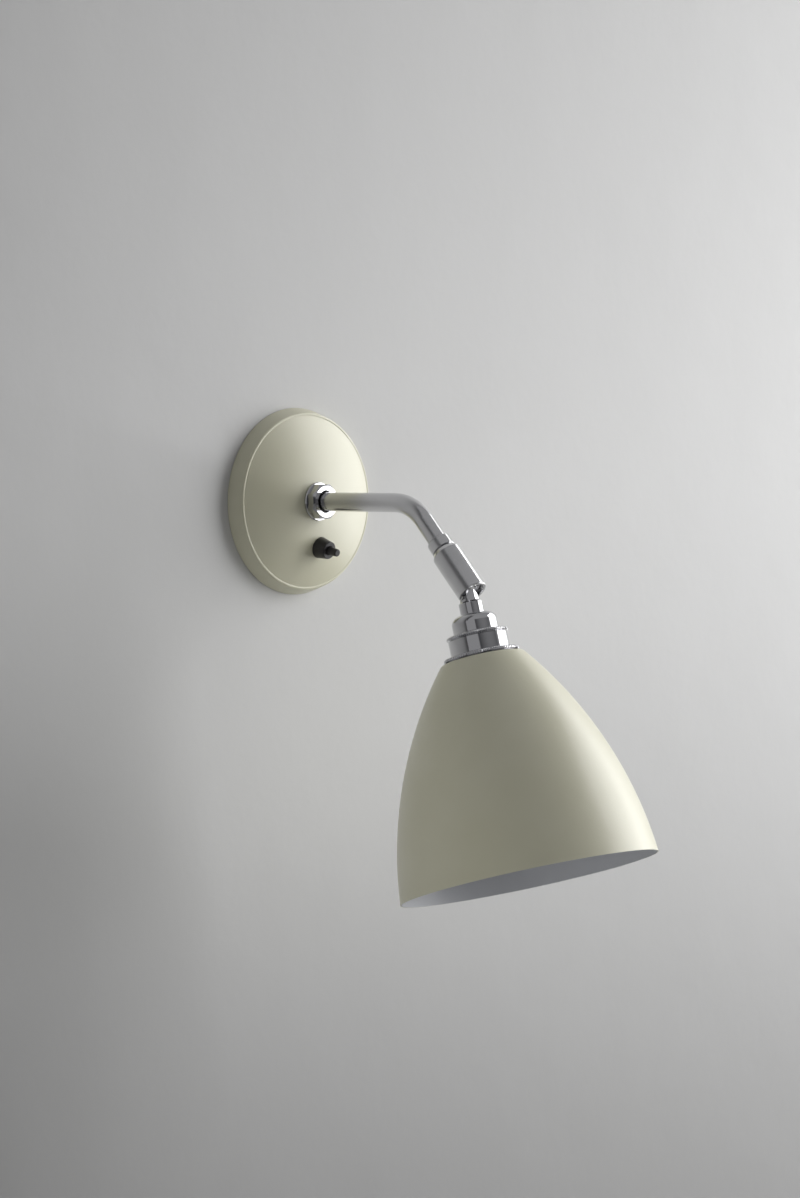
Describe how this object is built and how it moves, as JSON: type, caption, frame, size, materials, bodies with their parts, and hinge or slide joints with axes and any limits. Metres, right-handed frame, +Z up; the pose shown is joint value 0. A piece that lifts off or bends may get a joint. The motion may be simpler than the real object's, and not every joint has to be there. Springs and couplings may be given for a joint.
{
  "type": "wall reading lamp",
  "caption": "Wall reading lamp: round domed plate with a push switch, swivelling bent arm, turning sleeve with a ball joint, lamp holder and bell-shaped metal shade.",
  "frame": {"origin": "centre of the wall plate's back face, on the wall", "axes": "+Z up, +Y into the wall, so the arm stands out along -Y; the arm turns about the Y axis"},
  "size_m": [0.16, 0.2773, 0.3085],
  "materials": {
    "plate_paint": "satin",
    "shade_paint": "satin",
    "chrome": "polished",
    "satin_nickel": "satin",
    "zinc_steel": "satin",
    "spring_steel": "satin",
    "black_plastic": "satin",
    "white_nylon": "satin",
    "block_plastic": "satin",
    "brass": "satin",
    "brown_sheath": "satin",
    "blue_sheath": "satin",
    "earth_sheath": "satin",
    "black_sheath": "satin",
    "flex_sheath": "satin",
    "dark_rubber": "matte",
    "porcelain": "satin",
    "bulb_metal": "satin",
    "bulb_white": "satin",
    "opal": "satin"
  },
  "bodies": {
    "root": {"wall_plate": "plate_paint", "gland_nut": "chrome", "mounting_strap": "zinc_steel", "swivel_bush": "zinc_steel", "bush_liner": "black_plastic", "bush_locknut": "zinc_steel", "stop_pins": "zinc_steel", "terminal_block": "block_plastic", "terminal_tubes": "brass", "terminal_screws": "brass", "block_screw": "zinc_steel", "earth_screw": "zinc_steel", "earth_tag": "brass", "lead_live": "brown_sheath", "lead_neutral": "blue_sheath", "lead_earth": "earth_sheath", "switch_leads": "black_sheath", "switch_body": "black_plastic", "switch_base": "black_plastic", "switch_terminals": "brass", "switch_collar": "black_plastic", "switch_spring": "spring_steel"},
    "button": {"switch_plunger": "black_plastic"},
    "arm": {"arm_tube": "satin_nickel", "flex_in_arm": "flex_sheath", "stop_collar": "zinc_steel", "friction_washer": "black_plastic", "knuckle_spindle": "satin_nickel", "spindle_clip": "spring_steel"},
    "knuckle": {"knuckle_sleeve": "satin_nickel", "sleeve_cap": "satin_nickel", "thrust_washer": "white_nylon", "friction_spring": "spring_steel", "ball_cup": "white_nylon"},
    "head": {"ball_stud": "chrome", "holder_neck": "chrome", "flex_in_head": "flex_sheath", "holder_cap": "chrome", "holder_locknut": "zinc_steel", "knurled_ring": "chrome", "holder_skirt": "chrome", "holder_insert": "porcelain", "contact_screws": "brass", "screw_shell": "brass", "centre_contact": "brass", "head_leads": "black_sheath", "shade": "shade_paint", "shade_ring": "chrome", "shade_washer": "dark_rubber", "shade_lock_ring": "chrome", "bulb_cap": "bulb_metal", "bulb_body": "bulb_white", "bulb_globe": "opal"}
  },
  "joints": [
    {"name": "button_press", "type": "slide", "parent": "root", "child": "button", "axis": [-0.027, 0.9778, 0.208], "range_m": [0, 0.003], "stiffness_N_per_m": 300, "springref_m": -0.002, "deforming": ["switch_spring"]},
    {"name": "arm_swivel", "type": "hinge", "parent": "root", "child": "arm", "pos_m": [0, 0, 0], "axis": [0, 1, 0], "range_deg": [-90, 90]},
    {"name": "sleeve_swivel", "type": "hinge", "parent": "arm", "child": "knuckle", "pos_m": [0, -0.104, 0], "axis": [0, -0.682, -0.7314], "range_deg": [-165, 165]},
    {"name": "head_tilt", "type": "hinge", "parent": "knuckle", "child": "head", "pos_m": [0, -0.14922, -0.04849], "axis": [1, 0, 0], "range_deg": [-27, 36]}
  ]
}
